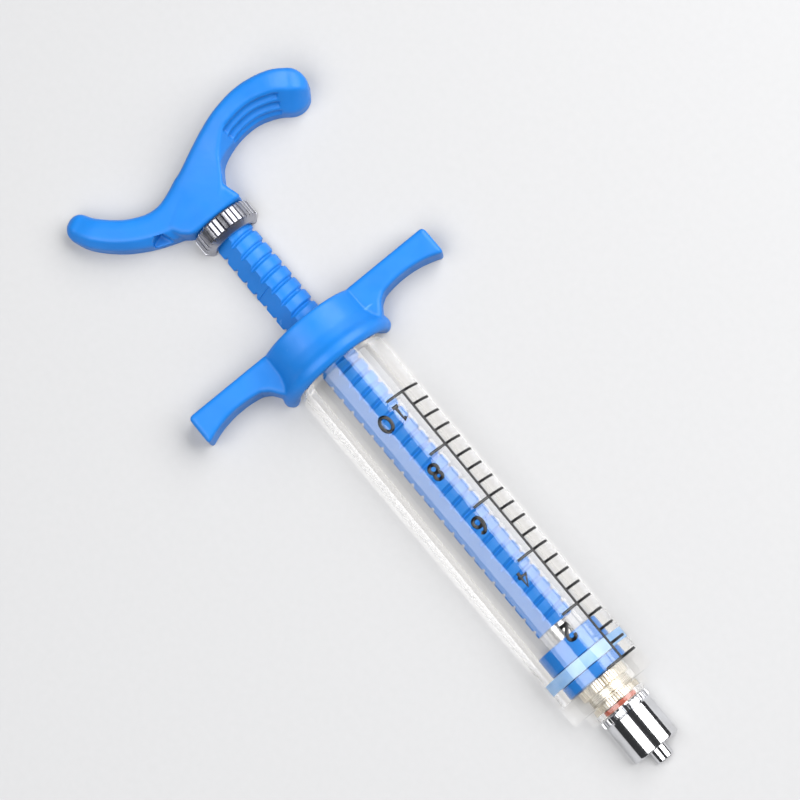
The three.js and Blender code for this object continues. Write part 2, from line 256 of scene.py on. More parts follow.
def turned(name, profile, steps=96, closed=False):
    """Turns a profile of (station, radius) points about the axis. A closed one makes a ring or a tube."""
    line = [place(x, r) for x, r in soften(profile)]
    piece = draw_line(name, line + line[:1] if closed else line)
    edit(piece)
    bpy.ops.mesh.select_all(action="SELECT")
    bpy.ops.mesh.remove_doubles(threshold=0.0005 * MM)
    bpy.ops.mesh.spin(steps=steps, angle=2 * math.pi, center=ON_AXIS, axis=(1, 0, 0))
    leave_edit()
    tidy_mesh(piece)
    return piece


def ribbed_rod(name, start, end, radius, depth, ribs, sides=5):
    """A prism round the axis whose rim has straight ribs. A rib and its V groove take up so many of its sides."""
    deselect()
    bpy.ops.mesh.primitive_circle_add(
        vertices=sides * ribs,
        radius=radius * MM,
        location=place(start),
        rotation=FACING_ALONG,
        fill_type="NOTHING",
    )
    piece = named(name)
    settle(piece)
    bpy.ops.object.mode_set(mode="EDIT")
    bpy.ops.mesh.select_mode(type="VERT")
    mesh = bmesh.from_edit_mesh(piece.data)
    mesh.verts.ensure_lookup_table()
    for k, vertex in enumerate(mesh.verts):
        vertex.select_set(k % sides == 0)
    shrink = 1 - depth / radius
    bpy.ops.transform.resize(value=(1, shrink, shrink), center_override=place(start))
    bpy.ops.mesh.select_all(action="SELECT")
    bpy.ops.mesh.edge_face_add()
    bpy.ops.mesh.extrude_region_move(TRANSFORM_OT_translate={"value": ((end - start) * MM, 0, 0)})
    bpy.ops.mesh.select_all(action="SELECT")
    bpy.ops.mesh.normals_make_consistent(inside=False)
    leave_edit()
    return piece


def barrel_radius(station):
    """Outer radius of the barrel, which tapers a little towards its end."""
    share = (station - BARREL_SHOULDER) / (BARREL_END - BARREL_SHOULDER)
    return BARREL_R_SHOULDER + (BARREL_R_END - BARREL_R_SHOULDER) * share


# ---- Materials ----


def linear(hex_colour):
    """An sRGB hex value as linear red, green, blue and alpha."""
    channels = [int(hex_colour[i : i + 2], 16) / 255 for i in (1, 3, 5)]
    return tuple([c / 12.92 if c <= 0.04045 else ((c + 0.055) / 1.055) ** 2.4 for c in channels] + [1.0])


def per_mm(size):
    """Texture scale, per metre, of a pattern whose features are this many millimetres."""
    return 1 / (size * MM)


def add(tree, kind, sockets=(), **settings):
    """Adds one node with its settings. Sockets gives each input a value or another node's output."""
    node = tree.nodes.new(kind)
    for key, value in settings.items():
        setattr(node, key, value)
    for key, value in dict(sockets).items():
        if isinstance(value, bpy.types.NodeSocket):
            tree.links.new(value, node.inputs[key])
        else:
            node.inputs[key].default_value = value
    return node


def start_material(name):
    """An empty node tree, with its object coordinates in metres."""
    material = bpy.data.materials.new(name)
    material.use_nodes = True
    tree = material.node_tree
    tree.nodes.clear()
    return material, tree, add(tree, "ShaderNodeTexCoord").outputs["Object"]


def finish_material(tree, sockets):
    shader = add(tree, "ShaderNodeBsdfPrincipled", sockets)
    add(tree, "ShaderNodeOutputMaterial", {"Surface": shader.outputs[0]})


def noise(tree, where, size, detail=2.0, stretch=(1, 1, 1), rough=0.5):
    """Noise with features of a size in millimetres, stretched along the axes by the given factors."""
    spread = add(tree, "ShaderNodeMapping", {"Vector": where, "Scale": [1 / s for s in stretch]})
    return add(
        tree,
        "ShaderNodeTexNoise",
        {"Vector": spread.outputs[0], "Scale": per_mm(size), "Detail": detail, "Roughness": rough},
    ).outputs["Fac"]


def band(tree, value, low, high, to_low=0.0, to_high=1.0):
    """Maps a range of a value onto another one, clamped at both ends."""
    return add(
        tree,
        "ShaderNodeMapRange",
        {"Value": value, "From Min": low, "From Max": high, "To Min": to_low, "To Max": to_high},
    ).outputs[0]


def blend_colours(tree, share, first, second):
    """Mixes two colours, each a hex-made tuple or a node's output."""
    mix = add(tree, "ShaderNodeMix", {0: share, 6: first, 7: second}, data_type="RGBA")
    return mix.outputs[2]


def bump(tree, height, depth, strength=1.0, after=None):
    """Relief of a depth in millimetres from a height between 0 and 1."""
    sockets = {"Height": height, "Distance": depth * MM, "Strength": strength}
    if after:
        sockets["Normal"] = after
    return add(tree, "ShaderNodeBump", sockets).outputs[0]


def turned_place(tree, where):
    """Coordinates (station, radius, 0) of a turned piece, so that lathe marks run round it on every face."""
    parts = add(tree, "ShaderNodeSeparateXYZ", {0: where}).outputs
    flat = add(tree, "ShaderNodeCombineXYZ", {"Y": parts["Y"], "Z": parts["Z"]}).outputs[0]
    gap = add(tree, "ShaderNodeVectorMath", {0: flat, 1: ON_AXIS}, operation="DISTANCE").outputs["Value"]
    return add(tree, "ShaderNodeCombineXYZ", {"X": parts["X"], "Y": gap}).outputs[0]


def moulded_nylon(colours):
    """Nylon, injection moulded: a satin skin with a faint grain, cloudy colour and a few pale scuffs."""
    material, tree, where = start_material("moulded_nylon")
    cloud = band(tree, noise(tree, where, 9, 3), 0.35, 0.65)
    colour = blend_colours(tree, cloud, colours.nylon_deep[:], colours.nylon[:])
    scuff = noise(tree, where, 0.9, 4, (1.5, 9, 3))
    patch = band(tree, noise(tree, where, 14, 2), 0.52, 0.68)
    strength = band(tree, scuff, 0.66, 0.8, 0, 0.45)
    faint = add(tree, "ShaderNodeMath", {0: strength, 1: patch}, operation="MULTIPLY").outputs[0]
    colour = blend_colours(tree, faint, colour, colours.nylon_scuff[:])
    grain = bump(tree, noise(tree, where, 0.35, 3), 0.03, 0.35)
    wavy = bump(tree, noise(tree, where, 5, 2), 0.12, 0.3, grain)
    finish_material(
        tree,
        {
            "Base Color": colour,
            "Roughness": band(tree, noise(tree, where, 2.5, 4), 0.3, 0.7, 0.36, 0.5),
            "IOR": 1.53,
            "Specular IOR Level": 0.28,
            "Normal": wavy,
        },
    )
    return material


def clear_polycarbonate(colours):
    """Polycarbonate, injection moulded and polished: clear, faintly warm, with flow ripples along the tube."""
    material, tree, where = start_material("clear_polycarbonate")
    ripple = bump(tree, noise(tree, where, 2.2, 2, (14, 1, 1)), 0.02, 0.16)
    hairline = noise(tree, where, 0.5, 3, (10, 1, 1))
    finish_material(
        tree,
        {
            "Base Color": colours.clear_plastic[:],
            "Roughness": band(tree, hairline, 0.62, 0.8, 0.01, 0.06),
            "IOR": 1.5,
            "Transmission Weight": 1.0,
            "Normal": ripple,
        },
    )
    return material


def plated_metal(name, colour, low, high, mark, depth):
    """Turned metal with a bright skin, and fine lathe marks that run round the axis.

    Low and high are the ends of its roughness: chrome plate is a near mirror, nickel and drawn steel are satin.
    Mark and depth are the width and the depth of the lathe marks. Real ones are too fine to show, so these
    are coarser.
    """
    material, tree, where = start_material(name)
    lathe = turned_place(tree, where)
    marks = bump(tree, noise(tree, lathe, mark, 3), depth, 0.4)
    smear = noise(tree, where, 3, 3)
    finish_material(
        tree,
        {
            "Base Color": blend_colours(tree, band(tree, smear, 0.3, 0.8, 0, 0.35), colour, linear("#A9A7A4")),
            "Metallic": 1.0,
            "Roughness": band(tree, noise(tree, lathe, mark * 3, 2), 0.3, 0.7, low, high),
            "Normal": marks,
        },
    )
    return material


def silicone_rubber(colours):
    """Silicone, moulded: milky and soft-looking, letting a little light through, with a dull bloom."""
    material, tree, where = start_material("silicone_rubber")
    cloud = band(tree, noise(tree, where, 2.5, 3), 0.3, 0.7)
    finish_material(
        tree,
        {
            "Base Color": blend_colours(tree, cloud, colours.silicone[:], linear("#95B6DC")),
            "Roughness": band(tree, noise(tree, where, 0.8, 2), 0.3, 0.7, 0.35, 0.5),
            "IOR": 1.41,
            "Subsurface Weight": 0.4,
            "Subsurface Radius": (0.002, 0.0022, 0.0026),
            "Subsurface Scale": 1.0,
            "Normal": bump(tree, noise(tree, where, 0.6, 2), 0.03, 0.3),
        },
    )
    return material


def vulcanised_fibre(colours):
    """Vulcanised fibre, stamped: matt brick red with a felted mottle."""
    material, tree, where = start_material("vulcanised_fibre")
    mottle = noise(tree, where, 0.4, 4)
    finish_material(
        tree,
        {
            "Base Color": blend_colours(tree, mottle, colours.washer[:], linear("#B4604C")),
            "Roughness": 0.8,
            "Normal": bump(tree, mottle, 0.05, 0.5),
        },
    )
    return material


def glossy_ink(colours):
    """Pad-printing ink on raised figures: glossy black that has rubbed thin on some of the crests."""
    material, tree, where = start_material("glossy_ink")
    rub = band(tree, noise(tree, where, 0.7, 3, (2, 1, 1)), 0.6, 0.8, 0, 0.5)
    finish_material(
        tree,
        {
            "Base Color": blend_colours(tree, rub, colours.ink[:], linear("#54504E")),
            "Roughness": band(tree, noise(tree, where, 1.0, 2), 0.3, 0.7, 0.14, 0.3),
            "IOR": 1.5,
            "Normal": bump(tree, noise(tree, where, 0.3, 2), 0.02, 0.4),
        },
    )
    return material


MADE = {}


def material_of(slot):
    """The material of a slot or a finish, made the first time it is asked for."""
    if slot not in MADE:
        colours = bpy.context.scene.syringe_colours
        recipes = {
            "clear_plastic": lambda: clear_polycarbonate(colours),
            "blue_nylon": lambda: moulded_nylon(colours),
            "chrome_plate": lambda: plated_metal("chrome_plate", colours.chrome[:], 0.05, 0.14, 0.16, 0.006),
            "satin_nickel": lambda: plated_metal("satin_nickel", colours.nut[:], 0.26, 0.36, 0.4, 0.002),
            "seat_metal": lambda: plated_metal("nickelled_brass", colours.seat[:], 0.26, 0.4, 0.2, 0.01),
            "steel_rod": lambda: plated_metal("drawn_steel", colours.steel[:], 0.2, 0.32, 0.2, 0.01),
            "silicone": lambda: silicone_rubber(colours),
            "washer_fibre": lambda: vulcanised_fibre(colours),
            "scale_paint": lambda: glossy_ink(colours),
        }
        MADE[slot] = recipes[slot]()
    return MADE[slot]


def hand_over(piece, body, slot, *nodes, finish=None):
    """Gives a finished piece its material and tells the frame what it rides on and stands for.

    A finish is a recipe that stands in for the slot's own one, where two pieces of a slot look different.
    """
    settle(piece)
    piece.data.materials.clear()
    piece.data.materials.append(material_of(finish or slot))
    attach(piece, body)
    if nodes:
        piece.name = piece.data.name = "fine_" + nodes[0]
        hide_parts(*nodes)


# ---- Sizes and colours that a user would change ----


def length(name, description, millimetres):
    return bpy.props.FloatProperty(
        name=name, description=description, default=millimetres * MM, min=0, unit="LENGTH", precision=5
    )


def colour(name, description, hex_colour):
    return bpy.props.FloatVectorProperty(
        name=name, description=description, default=linear(hex_colour), size=4, min=0, max=1, subtype="COLOR"
    )


class SyringeSizes(bpy.types.PropertyGroup):
    thread_pitch: length("Thread pitch", "Distance between turns of the rod's thread", 3.06)
    thread_depth: length("Thread depth", "Depth of the rod's thread groove", 0.6)
    tick_spacing: length("Tick spacing", "Distance between marks of half a millilitre", 3.28)
    figure_height: length("Figure height", "Height of the numbers on the scale", 3.9)
    stroke_width: length("Stroke width", "Width of the strokes of the numbers", 0.74)
    nut_ribs: bpy.props.IntProperty(
        name="Nut ribs", description="Ribs round the dose nut's rim", default=38, min=12, max=80
    )
    flange_ribs: bpy.props.IntProperty(
        name="Flange ribs", description="Ribs round the nozzle's flange", default=42, min=12, max=80
    )


class SyringeColours(bpy.types.PropertyGroup):
    nylon: colour("Nylon", "Main colour of the moulded blue parts", "#1A73C6")
    nylon_deep: colour("Nylon, deep", "Colour of the cloudier patches", "#156DBE")
    nylon_scuff: colour("Scuffs", "Colour of rubbed nylon", "#9CCBF7")
    clear_plastic: colour("Clear plastic", "Tint of the barrel", "#FCFAF6")
    chrome: colour("Chrome", "Colour of the plated nozzle", "#E2E3E6")
    nut: colour("Nut", "Colour of the knurled dose nut", "#ADAEB6")
    seat: colour("Nozzle seat", "Colour of the metal seat in the barrel", "#E6E0D4")
    steel: colour("Steel", "Colour of the core rod", "#B9BBBE")
    silicone: colour("Silicone", "Colour of the piston seal", "#7FA6D2")
    washer: colour("Washer", "Colour of the fibre washer", "#8E3E30")
    ink: colour("Ink", "Colour of the printed scale", "#0B0B0D")


# ---- Pieces ----


class SYRINGE_OT_barrel(bpy.types.Operator):
    """Turn the clear barrel, with its shoulder, neck, bore and nozzle boss"""

    bl_idname = "syringe.barrel"
    bl_label = "Barrel"

    def execute(self, context):
        # The pocket's wall lies inside the metal of the seat, which is moulded in with no air round it.
        inside_seat = 2.62
        washer_pocket = 3.8
        piece = turned(
            "barrel",
            [
                (BARREL_RIM + 0.5, BORE_R),
                (BARREL_RIM, BORE_R + 0.35),
                (BARREL_RIM, 9.3, 0.4),
                (BARREL_SHOULDER - 1.4, 9.3, 0.3),
                (BARREL_SHOULDER - 0.4, BARREL_R_SHOULDER, 0.9),
                (BARREL_END, BARREL_R_END, 0.55),
                (BARREL_END, 7.0, 0.25),
                (BOSS_END, 7.0, 0.35),
                (BOSS_END, washer_pocket, 0.1),
                (SEAT_END - 0.1, washer_pocket),
                (SEAT_END - 0.1, inside_seat),
                (BORE_FLOOR, inside_seat),
                (BORE_FLOOR, BORE_R, 0.35),
            ],
            steps=160,
            closed=True,
        )
        smooth(piece, 28)
        hand_over(piece, "barrel_body", "clear_plastic", "barrel")
        piece.visible_shadow = False  # clear plastic lets the lamps through to the rod and the floor
        return {"FINISHED"}


FIGURE_SPAN = 4  # short edges between two points of a curved stroke


def figure_strokes():
    """Strokes of each figure in a unit box: to the right, then up. A figure may take more than one stroke."""

    def oval(x, y, half_width, half_height, points=24):
        turns = [2 * math.pi * k / points for k in range(points + 1)]
        return [(x + half_width * math.sin(t), y + half_height * math.cos(t)) for t in turns]

    two_hook = flowing(
        [
            *[(0.08, 0.74), (0.16, 0.92), (0.45, 1.0), (0.78, 0.93)],
            *[(0.86, 0.72), (0.7, 0.48), (0.38, 0.22), (0.06, 0.0)],
        ],
        FIGURE_SPAN,
    )
    six = flowing(
        [
            *[(0.84, 0.9), (0.62, 1.0), (0.34, 0.9), (0.12, 0.6)],
            *[(0.06, 0.3), (0.22, 0.06), (0.52, 0.0), (0.82, 0.08), (0.94, 0.3)],
            *[(0.8, 0.52), (0.5, 0.58), (0.2, 0.5), (0.08, 0.3)],
        ],
        FIGURE_SPAN,
    )
    return {
        "0": [oval(0.5, 0.5, 0.46, 0.5)],
        "1": [[(0.2, 0.84), (0.5, 0.98), (0.5, 0.0)], [(0.14, 0.0), (0.86, 0.0)]],
        "2": [two_hook, [(0.06, 0.0), (0.92, 0.0)]],
        "4": [[(0.66, 0.0), (0.66, 1.0), (0.06, 0.32), (0.96, 0.32)]],
        "6": [six],
        "8": [oval(0.5, 0.77, 0.35, 0.23), oval(0.5, 0.27, 0.43, 0.27)],
    }


class SYRINGE_OT_scale(bpy.types.Operator):
    """Draw the raised volume scale on the barrel: marks, base line and numbers"""

    bl_idname = "syringe.scale"
    bl_label = "Painted Scale"

    def execute(self, context):
        sizes = context.scene.syringe_sizes
        spacing = sizes.tick_spacing / MM
        full_mark = -7.7  # station of the mark for the whole ten millilitres
        line_angle = 33.8
        short_end = 61.6
        long_end = 10.9
        marks = 21
        text_gap = 1.35  # from a long mark to the foot of its number
        parts = [self.marks(full_mark, spacing, line_angle, short_end, range(marks))]
        parts.append(self.marks(full_mark, spacing, long_end, line_angle, range(0, marks, 4)))
        parts.append(self.base_line(full_mark, spacing * (marks - 1), line_angle))
        for row, text in enumerate(("10", "8", "6", "4", "2")):
            station = full_mark + 4 * row * spacing + text_gap
            angles = (15.0, -4.5) if len(text) == 2 else (4.0,)
            for figure, angle in zip(text, angles):
                parts += self.figure(figure, station, angle, sizes)
        for part in parts:
            tidy_mesh(part)
        piece = join(*parts)
        piece.name = piece.data.name = "painted_scale"
        smooth(piece, 50)
        hand_over(piece, "barrel_body", "scale_paint")
        return {"FINISHED"}

    def marks(self, first, spacing, start, end, rows):
        """One raised mark, spun round the axis from one angle to another and copied along the barrel."""
        deselect()
        half_width, half_height = 0.29, 0.21
        radius = barrel_radius(first)
        bpy.ops.mesh.primitive_circle_add(
            vertices=12, radius=half_width * MM, location=place(first, radius), rotation=(math.pi / 2, 0, 0)
        )
        piece = named("marks")
        settle(piece)
        edit(piece)
        bpy.ops.mesh.select_all(action="SELECT")
        bpy.ops.transform.resize(value=(1, 1, half_height / half_width), center_override=place(first, radius))
        bpy.ops.transform.rotate(value=math.radians(start), orient_axis="X", center_override=place(first))
        bpy.ops.mesh.spin(steps=12, angle=math.radians(end - start), center=ON_AXIS, axis=(1, 0, 0))
        bpy.ops.mesh.select_all(action="SELECT")
        bpy.ops.mesh.fill_holes(sides=0)
        bpy.ops.mesh.normals_make_consistent(inside=False)
        last = 0
        for row in list(rows)[1:]:
            bpy.ops.mesh.duplicate_move(TRANSFORM_OT_translate={"value": ((row - last) * spacing * MM, 0, 0)})
            shrink = barrel_radius(first + row * spacing) / barrel_radius(first + last * spacing)
            bpy.ops.transform.resize(value=(1, shrink, shrink), center_override=place(first + row * spacing))
            last = row
        leave_edit()
        return piece

    def base_line(self, first, run, angle):
        """The thin line along the barrel that the marks stand on."""
        deselect()
        bpy.ops.mesh.primitive_circle_add(
            vertices=10,
            radius=0.25 * MM,
            location=place(first, barrel_radius(first), angle),
            rotation=FACING_ALONG,
            fill_type="NGON",
        )
        piece = named("base_line")
        settle(piece)
        edit(piece)
        bpy.ops.mesh.select_all(action="SELECT")
        spans = 12
        end = place(first + run, barrel_radius(first + run), angle)
        step = (end - place(first, barrel_radius(first), angle)) / spans
        for _ in range(spans):
            bpy.ops.mesh.extrude_region_move(TRANSFORM_OT_translate={"value": step})
        bpy.ops.mesh.select_all(action="SELECT")
        bpy.ops.mesh.normals_make_consistent(inside=False)
        leave_edit()
        return piece

    def figure(self, name, station, angle, sizes):
        """One number as rounded beads along its strokes, laid on the barrel."""
        stroke = sizes.stroke_width / MM
        tall = sizes.figure_height / MM - stroke
        wide = {"0": 2.3, "1": 1.7}.get(name, 2.0)
        sunk = 0.02  # how far the middle of a stroke lies under the barrel's surface
        beads = []
        for strokes in figure_strokes()[name]:
            middle = station + stroke / 2
            points = [
                Vector(
                    (
                        STATION_ZERO + (middle + v * tall) * MM,
                        AXIS_Y - (u - 0.5) * wide * MM,
                        AXIS_Z + (barrel_radius(middle + v * tall) - sunk) * MM,
                    )
                )
                for u, v in strokes
            ]
            bead = draw_line("figure", points)
            pick(bead)
            bpy.ops.object.convert(target="CURVE")
            bead = bpy.context.object
            bead.data.dimensions = "3D"
            bead.data.bevel_depth = stroke / 2 * MM
            bead.data.bevel_resolution = 2
            bead.data.use_fill_caps = True
            bpy.ops.object.convert(target="MESH")
            bead = bpy.context.object
            edit(bead)
            bpy.ops.mesh.select_all(action="SELECT")
            bpy.ops.transform.resize(value=(1, 1, 0.6), center_override=place(middle, barrel_radius(middle)))
            bpy.ops.transform.rotate(value=math.radians(angle), orient_axis="X", center_override=place(middle))
            leave_edit()
            beads.append(bead)
        return beads


class SYRINGE_OT_nozzle_seat(bpy.types.Operator):
    """Turn and knurl the metal seat in the barrel's end, and the washer on it"""

    bl_idname = "syringe.nozzle_seat"
    bl_label = "Nozzle Seat and Washer"

    def execute(self, context):
        start = BORE_FLOOR - 0.05
        hole = 2.45
        rim, waist = 3.65, 3.05
        rings = [
            (start + 2.3 + 0.45 * k + step, 2.95 + rise)
            for k in range(3)
            for step, rise in ((0, 0), (0.1, 0.22), (0.25, 0.22), (0.35, 0))
        ]
        blank = turned(
            "nozzle_seat",
            [
                (start, hole),
                (start, rim, 0.15),
                (start + 1.9, rim, 0.1),
                (start + 2.05, waist),
                *rings,
                (SEAT_END - 2.05, waist),
                (SEAT_END - 1.9, rim, 0.1),
                (SEAT_END, rim, 0.15),
                (SEAT_END, hole),
            ],
            closed=True,
        )
        carve(blank, ribbed_rod("knurls", start - 1, SEAT_END + 1, 3.67, 0.3, 44), "INTERSECT")
        tidy_mesh(blank)
        smooth(blank, 25)
        hand_over(blank, "barrel_body", "seat_metal", "nozzle_seat")
        washer = turned(
            "nozzle_washer",
            [
                (SEAT_END + 0.1, hole),
                (SEAT_END + 0.1, 3.7, 0.15),
                (SEAT_END + 1.1, 3.7, 0.15),
                (SEAT_END + 1.1, hole),
            ],
            closed=True,
        )
        smooth(washer)
        hand_over(washer, "barrel_body", "washer_fibre", "nozzle_washer")
        return {"FINISHED"}


class SYRINGE_OT_nozzle(bpy.types.Operator):
    """Turn the lock nozzle: shank, knurled flange, threaded collar and cone"""

    bl_idname = "syringe.nozzle"
    bl_label = "Lock Nozzle"

    def execute(self, context):
        sizes = context.scene.syringe_sizes
        floor = FLANGE_FACE + 1
        flange = turned(
            "luer_lock_nozzle",
            [
                (FLANGE_BACK, 0.9),
                (FLANGE_BACK, 5.45, 0.25),
                (FLANGE_FACE, 5.45, 0.25),
                (FLANGE_FACE, 0.9),
            ],
            closed=True,
        )
        knurls = ribbed_rod("knurls", FLANGE_BACK - 1, FLANGE_FACE + 1, 5.46, 0.3, sizes.flange_ribs)
        carve(flange, knurls, "INTERSECT")
        thread = [
            point
            for k in range(4)
            for point in (
                (COLLAR_END - 1.0 - 1.6 * k, 4.0),
                (COLLAR_END - 1.3 - 1.6 * k, 4.45, 0.1),
                (COLLAR_END - 1.9 - 1.6 * k, 4.45, 0.1),
                (COLLAR_END - 2.2 - 1.6 * k, 4.0),
            )
        ]
        body = turned(
            "nozzle_body",
            [
                (BORE_FLOOR + 1, 0.9),
                (BORE_FLOOR + 1, 2.25, 0.3),
                (FLANGE_BACK + 0.2, 2.25),
                (FLANGE_BACK + 0.2, 4.6),
                (FLANGE_FACE - 0.1, 4.6),
                (FLANGE_FACE - 0.1, 5.05, 0.1),
                (FLANGE_FACE + 0.35, 5.25, 0.1),
                (COLLAR_END, 5.25, 0.4),
                (COLLAR_END, 4.25, 0.15),
                (COLLAR_END - 0.4, 4.0),
                *thread,
                (floor, 4.0),
                (floor, 2.27),
                (NOZZLE_END, 1.95, 0.25),
                (NOZZLE_END, 1.05, 0.1),
                (NOZZLE_END - 0.3, 0.9),
            ],
            closed=True,
        )
        carve(flange, body, "UNION")
        tidy_mesh(flange)
        smooth(flange, 25)
        hand_over(flange, "barrel_body", "chrome_plate", "luer_lock_nozzle")
        return {"FINISHED"}


class SYRINGE_OT_winged_cap(bpy.types.Operator):
    """Mould the screw cap: flared collar, two finger wings and the keyed hole for the rod"""

    bl_idname = "syringe.winged_cap"
    bl_label = "Winged Cap"

    def execute(self, context):
        roof = BARREL_RIM - 0.2
        bore = 9.55
        collar = turned(
            "winged_cap",
            [
                (CAP_TOP, 3.0),
                (CAP_TOP, 11.85, 0.9),
                (CAP_TOP + 5.2, 11.95, 3.0),
                (CAP_TOP + 7.4, 12.5, 2.0),
                (CAP_TOP + 8.6, 13.1, 1.2),
                (CAP_TOP + 9.9, 13.1, 1.2),
                (CAP_MOUTH, 12.0, 1.0),
                (CAP_MOUTH, 11.2, 0.3),
                (CAP_MOUTH - 0.9, bore + 0.3, 0.3),
                (CAP_MOUTH - 1.6, bore),
                (roof, bore),
                (roof, 6.7),
                (SPIGOT_END, 6.7, 0.4),
                (SPIGOT_END, 3.0),
            ],
            closed=True,
        )
        wings = [self.wing(1), self.wing(-1)]
        gate = self.gate_mark()
        cap = join(collar, *wings, gate)
        fuse(cap, 0.25, 9)
        carve(cap, self.rod_hole())
        tidy_mesh(cap)
        smooth(cap, 40)
        hand_over(cap, "barrel_body", "blue_nylon", "winged_cap")
        return {"FINISHED"}

    def wing(self, side):
        """One finger wing, extruded from its outline and rounded all over."""
        root, end = 9.8, 29.5
        waist, waist_height, end_height = 20.4, 4.7, 6.7
        sag = end_height - waist_height
        arc = ((end - waist) ** 2 + sag**2) / (2 * sag)
        depth = 12.0
        outline = [(0, root)]
        for k in range(15):
            y = root + (end - root) * k / 14
            flare = 3.0 * min(1.0, max(0.0, (15.6 - y) / 3.6)) ** 2  # fillet into the collar
            outline.append((waist_height + arc - math.sqrt(arc**2 - (y - waist) ** 2) + flare, y))
        outline.append((0, end))

        def corner(height, y):
            return place(CAP_TOP + height) + Vector((0, side * y * MM, -depth / 2 * MM))

        piece = draw_line("wing", [corner(*p) for p in outline])
        edit(piece)
        bpy.ops.mesh.select_all(action="SELECT")
        bpy.ops.mesh.edge_face_add()
        bpy.ops.mesh.extrude_region_move(TRANSFORM_OT_translate={"value": (0, 0, depth * MM)})
        bpy.ops.mesh.select_all(action="SELECT")
        bpy.ops.mesh.normals_make_consistent(inside=False)
        leave_edit()
        apply_modifier(
            piece, "BEVEL", width=1.0 * MM, segments=4, limit_method="ANGLE", angle_limit=math.radians(40)
        )
        return piece

    def gate_mark(self):
        """The small stub where the moulding gate was cut off the back of one wing."""
        middle = place(CAP_TOP + 0.75, 14.5, -100)
        deselect()
        bpy.ops.mesh.primitive_uv_sphere_add(segments=24, ring_count=12, radius=1.5 * MM, location=middle)
        piece = named("gate_mark")
        settle(piece)
        edit(piece)
        bpy.ops.mesh.select_all(action="SELECT")
        bpy.ops.transform.resize(value=(0.55, 1, 1), center_override=middle)
        leave_edit()
        return piece

    def rod_hole(self):
        """The hole for the rod, with flats that hold the rod's flats."""
        start, end = CAP_TOP - 2, SPIGOT_END + 2
        radius = ROD_R + ROD_CLEARANCE
        tool = turned("rod_hole", [(start, 0), (start, radius), (end, radius), (end, 0)], steps=64)
        cut_flats(tool, FLAT_R + ROD_CLEARANCE)
        return tool


def cut_flats(piece, distance):
    """Cuts two flats along a rod, at a distance from the axis, and closes it."""
    for side in (1, -1):
        face = place(0, side * distance, FLAT_TURN)
        out = (face - place(0)).normalized()
        edit(piece)
        bpy.ops.mesh.select_all(action="SELECT")
        bpy.ops.mesh.bisect(plane_co=face, plane_no=out, clear_outer=True, use_fill=True)
        leave_edit()


class SYRINGE_OT_rod(bpy.types.Operator):
    """Cut the threaded rod with its flats, and turn the core rod inside it"""

    bl_idname = "syringe.rod"
    bl_label = "Threaded Rod"

    def execute(self, context):
        sizes = context.scene.syringe_sizes
        pitch = sizes.thread_pitch / MM
        root = ROD_R - sizes.thread_depth / MM
        start, end = HUB_FACE - 3.0, ROD_END
        groove_up = -33.845  # station of a groove on the side that faces straight up
        first = groove_up - math.ceil((groove_up - start) / pitch + 1) * pitch
        half = pitch / 2
        groove = [(-half, ROD_R), (-0.66, ROD_R), (-0.42, ROD_R - 0.14), (-0.2, root + 0.1), (0, root)]
        groove += [(-x, r) for x, r in reversed(groove[:-1])]
        piece = draw_line("threaded_rod", [place(first + x, r) for x, r in groove])
        bpy.context.scene.cursor.location = ON_AXIS
        pick(piece)
        bpy.ops.object.origin_set(type="ORIGIN_CURSOR")
        turns = math.ceil((end - first) / pitch) + 1
        apply_modifier(
            piece,
            "SCREW",
            axis="X",
            angle=2 * math.pi,
            screw_offset=pitch * MM,
            iterations=turns,
            steps=48,
            render_steps=48,
            use_merge_vertices=True,
            merge_threshold=0.001 * MM,
        )
        settle(piece)
        tidy_mesh(piece)
        for station, out in ((start, -1), (end, 1)):
            edit(piece)
            bpy.ops.mesh.select_all(action="SELECT")
            bpy.ops.mesh.bisect(plane_co=place(station), plane_no=(out, 0, 0), clear_outer=True, use_fill=True)
            leave_edit()
        tidy_mesh(piece)
        cut_flats(piece, FLAT_R)
        hole = CORE_R + CORE_CLEARANCE
        bore = [(start - 1, 0), (start - 1, hole), (end + 1, hole), (end + 1, 0)]
        carve(piece, turned("rod_bore", bore, steps=48))
        turns_to_step = 4.1
        carve(piece, self.deeper_flat(NUT_FRONT + turns_to_step * pitch, end))
        tidy_mesh(piece)
        smooth(piece, 22)
        hand_over(piece, "plunger", "blue_nylon", "threaded_rod")
        back, front = HUB_FACE - 7.6, FRONT_DISC_FACE - 1.2
        core = turned(
            "core_rod", [(back, 0), (back, CORE_R, 0.3), (front, CORE_R, 0.3), (front, 0)], steps=48
        )
        smooth(core)
        hand_over(core, "plunger", "steel_rod", "core_rod")
        return {"FINISHED"}

    def deeper_flat(self, start, end):
        """A block that takes the flat a little deeper from a step below the nut to the rod's end."""
        past, wide, high = 1, 6, 2
        bottom = FLAT_R - 0.2
        middle = place((start + end) / 2 + past)
        deselect()
        bpy.ops.mesh.primitive_cube_add(size=2 * MM, location=middle)
        piece = named("deeper_flat")
        settle(piece)
        edit(piece)
        bpy.ops.mesh.select_all(action="SELECT")
        bpy.ops.transform.resize(value=((end - start) / 2 + past, wide, high), center_override=middle)
        bpy.ops.transform.translate(value=(0, 0, (bottom + high) * MM))
        bpy.ops.transform.rotate(value=math.radians(FLAT_TURN), orient_axis="X", center_override=place(0))
        leave_edit()
        return piece


